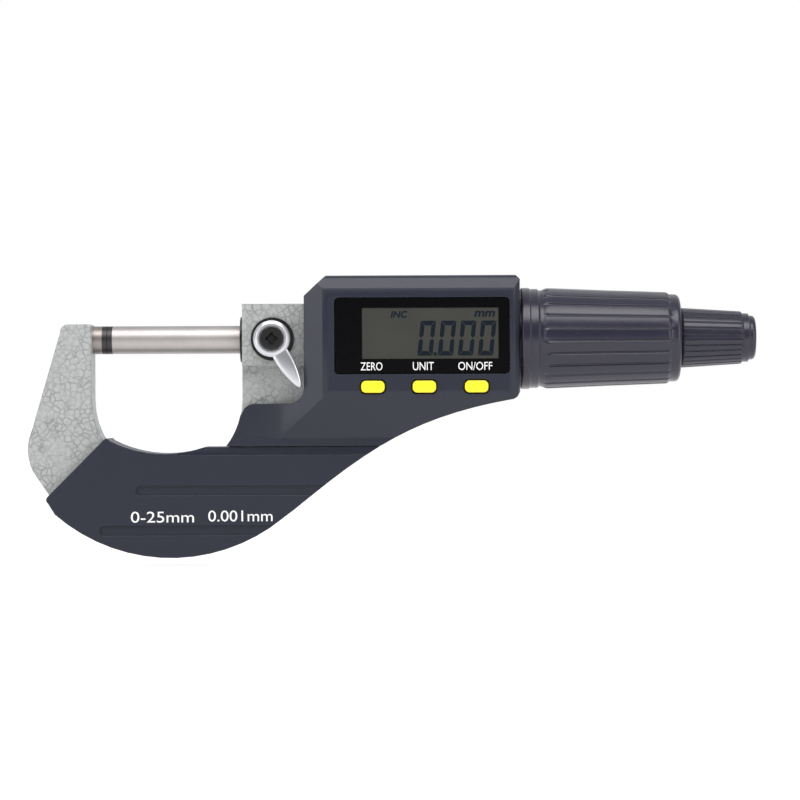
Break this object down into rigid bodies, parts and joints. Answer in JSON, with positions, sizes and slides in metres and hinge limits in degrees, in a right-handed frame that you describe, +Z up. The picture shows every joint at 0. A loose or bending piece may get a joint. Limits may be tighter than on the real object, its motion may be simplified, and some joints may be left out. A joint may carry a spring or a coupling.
{
  "type": "outside micrometer",
  "caption": "Digital outside micrometer: painted U frame with plastic bow covers, electronics housing with display and buttons, spindle lock, ribbed thimble and ratchet.",
  "frame": {"origin": "centre of the flat strip between the grooves on the bow cover's back face", "axes": "+X along the spindle from the anvil towards the ratchet, +Y out of the back, +Z up"},
  "size_m": [0.1694, 0.0262, 0.0651],
  "materials": {
    "cast_paint": "grey-green hammered paint",
    "dark_plastic": "satin moulded plastic",
    "thimble_plastic": "satin moulded plastic",
    "steel": "ground steel",
    "chrome": "bright plated",
    "carbide": "lapped carbide",
    "brass": "turned brass",
    "black": "black",
    "window": "printed black border on clear plastic",
    "lcd": "liquid-crystal panel",
    "rubber": "moulded silicone",
    "board": "circuit board",
    "button_yellow": "moulded yellow",
    "contact_gold": "gold-plated spring contact"
  },
  "bodies": {
    "frame": {"frame_casting": "cast_paint", "anvil": "steel", "anvil_tip": "carbide", "spindle_bush": "black", "bow_cover_front": "dark_plastic", "bow_cover_back": "dark_plastic", "cover_screw_1": "chrome", "cover_screw_2": "chrome", "cover_screw_3": "chrome", "housing_front": "dark_plastic", "housing_back": "dark_plastic", "housing_screw_1": "chrome", "housing_screw_2": "chrome", "housing_screw_3": "chrome", "housing_screw_4": "chrome", "battery": "steel", "battery_contact_plus": "contact_gold", "battery_contact_minus": "contact_gold", "display_window": "window", "lcd_panel": "lcd", "main_board": "board", "zebra_strip_upper": "rubber", "zebra_strip_lower": "rubber", "processor_chip": "black", "button_pad": "rubber", "encoder_stator": "board", "thrust_ring": "brass", "lock_washer": "black", "spindle_nut": "steel", "adjusting_nut": "steel", "outer_sleeve": "steel"},
    "encoder_rotor": {"rotor_disc": "board", "rotor_hub": "brass", "rotor_key": "steel"},
    "spindle": {"spindle": "steel", "spindle_tip": "carbide", "thimble": "thimble_plastic", "thimble_hub": "brass", "ratchet_stem": "steel"},
    "ratchet": {"ratchet_knob": "thimble_plastic", "ratchet_ring": "brass"},
    "ratchet_pawl": {"ratchet_pawl": "steel", "ratchet_spring": "steel"},
    "lock_lever": {"lock_lever": "chrome", "lock_screw": "black"},
    "lock_shoe": {"lock_shoe": "brass"},
    "battery_door": {"battery_door": "dark_plastic"},
    "button_zero": {"button_zero": "button_yellow"},
    "button_unit": {"button_unit": "button_yellow"},
    "button_power": {"button_power": "button_yellow"}
  },
  "joints": [
    {"name": "thimble_turn", "type": "hinge", "parent": "frame", "child": "encoder_rotor", "pos_m": [0.039, -0.007, 0.0396], "axis": [1, 0, 0], "range_deg": [0, 18000]},
    {"name": "spindle_travel", "type": "slide", "parent": "encoder_rotor", "child": "spindle", "axis": [1, 0, 0], "range_m": [0, 0.025]},
    {"name": "ratchet_turn", "type": "hinge", "parent": "spindle", "child": "ratchet", "pos_m": [0.1215, -0.007, 0.0396], "axis": [1, 0, 0], "continuous": true},
    {"name": "pawl_click", "type": "slide", "parent": "spindle", "child": "ratchet_pawl", "axis": [0, 0, -1], "range_m": [0, 0.00045], "stiffness_N_per_m": 300, "deforming": ["ratchet_spring"]},
    {"name": "lock_turn", "type": "hinge", "parent": "frame", "child": "lock_lever", "pos_m": [0.0188, -0.016, 0.0396], "axis": [0, 1, 0], "range_deg": [0, 60]},
    {"name": "lock_press", "type": "slide", "parent": "frame", "child": "lock_shoe", "axis": [0, 1, 0], "range_m": [0, 0.00014]},
    {"name": "door_slide", "type": "slide", "parent": "frame", "child": "battery_door", "axis": [0, 0, 1], "range_m": [0, 0.027]},
    {"name": "press_zero", "type": "slide", "parent": "frame", "child": "button_zero", "axis": [0, 1, 0], "range_m": [0, 0.0006], "stiffness_N_per_m": 400},
    {"name": "press_unit", "type": "slide", "parent": "frame", "child": "button_unit", "axis": [0, 1, 0], "range_m": [0, 0.0006], "stiffness_N_per_m": 400},
    {"name": "press_power", "type": "slide", "parent": "frame", "child": "button_power", "axis": [0, 1, 0], "range_m": [0, 0.0006], "stiffness_N_per_m": 400}
  ],
  "couplings": [
    {"joint": "thimble_turn", "follows": "spindle_travel", "rad_per_m": 12566},
    {"joint": "lock_press", "follows": "lock_turn", "m_per_rad": 0.00012732}
  ]
}
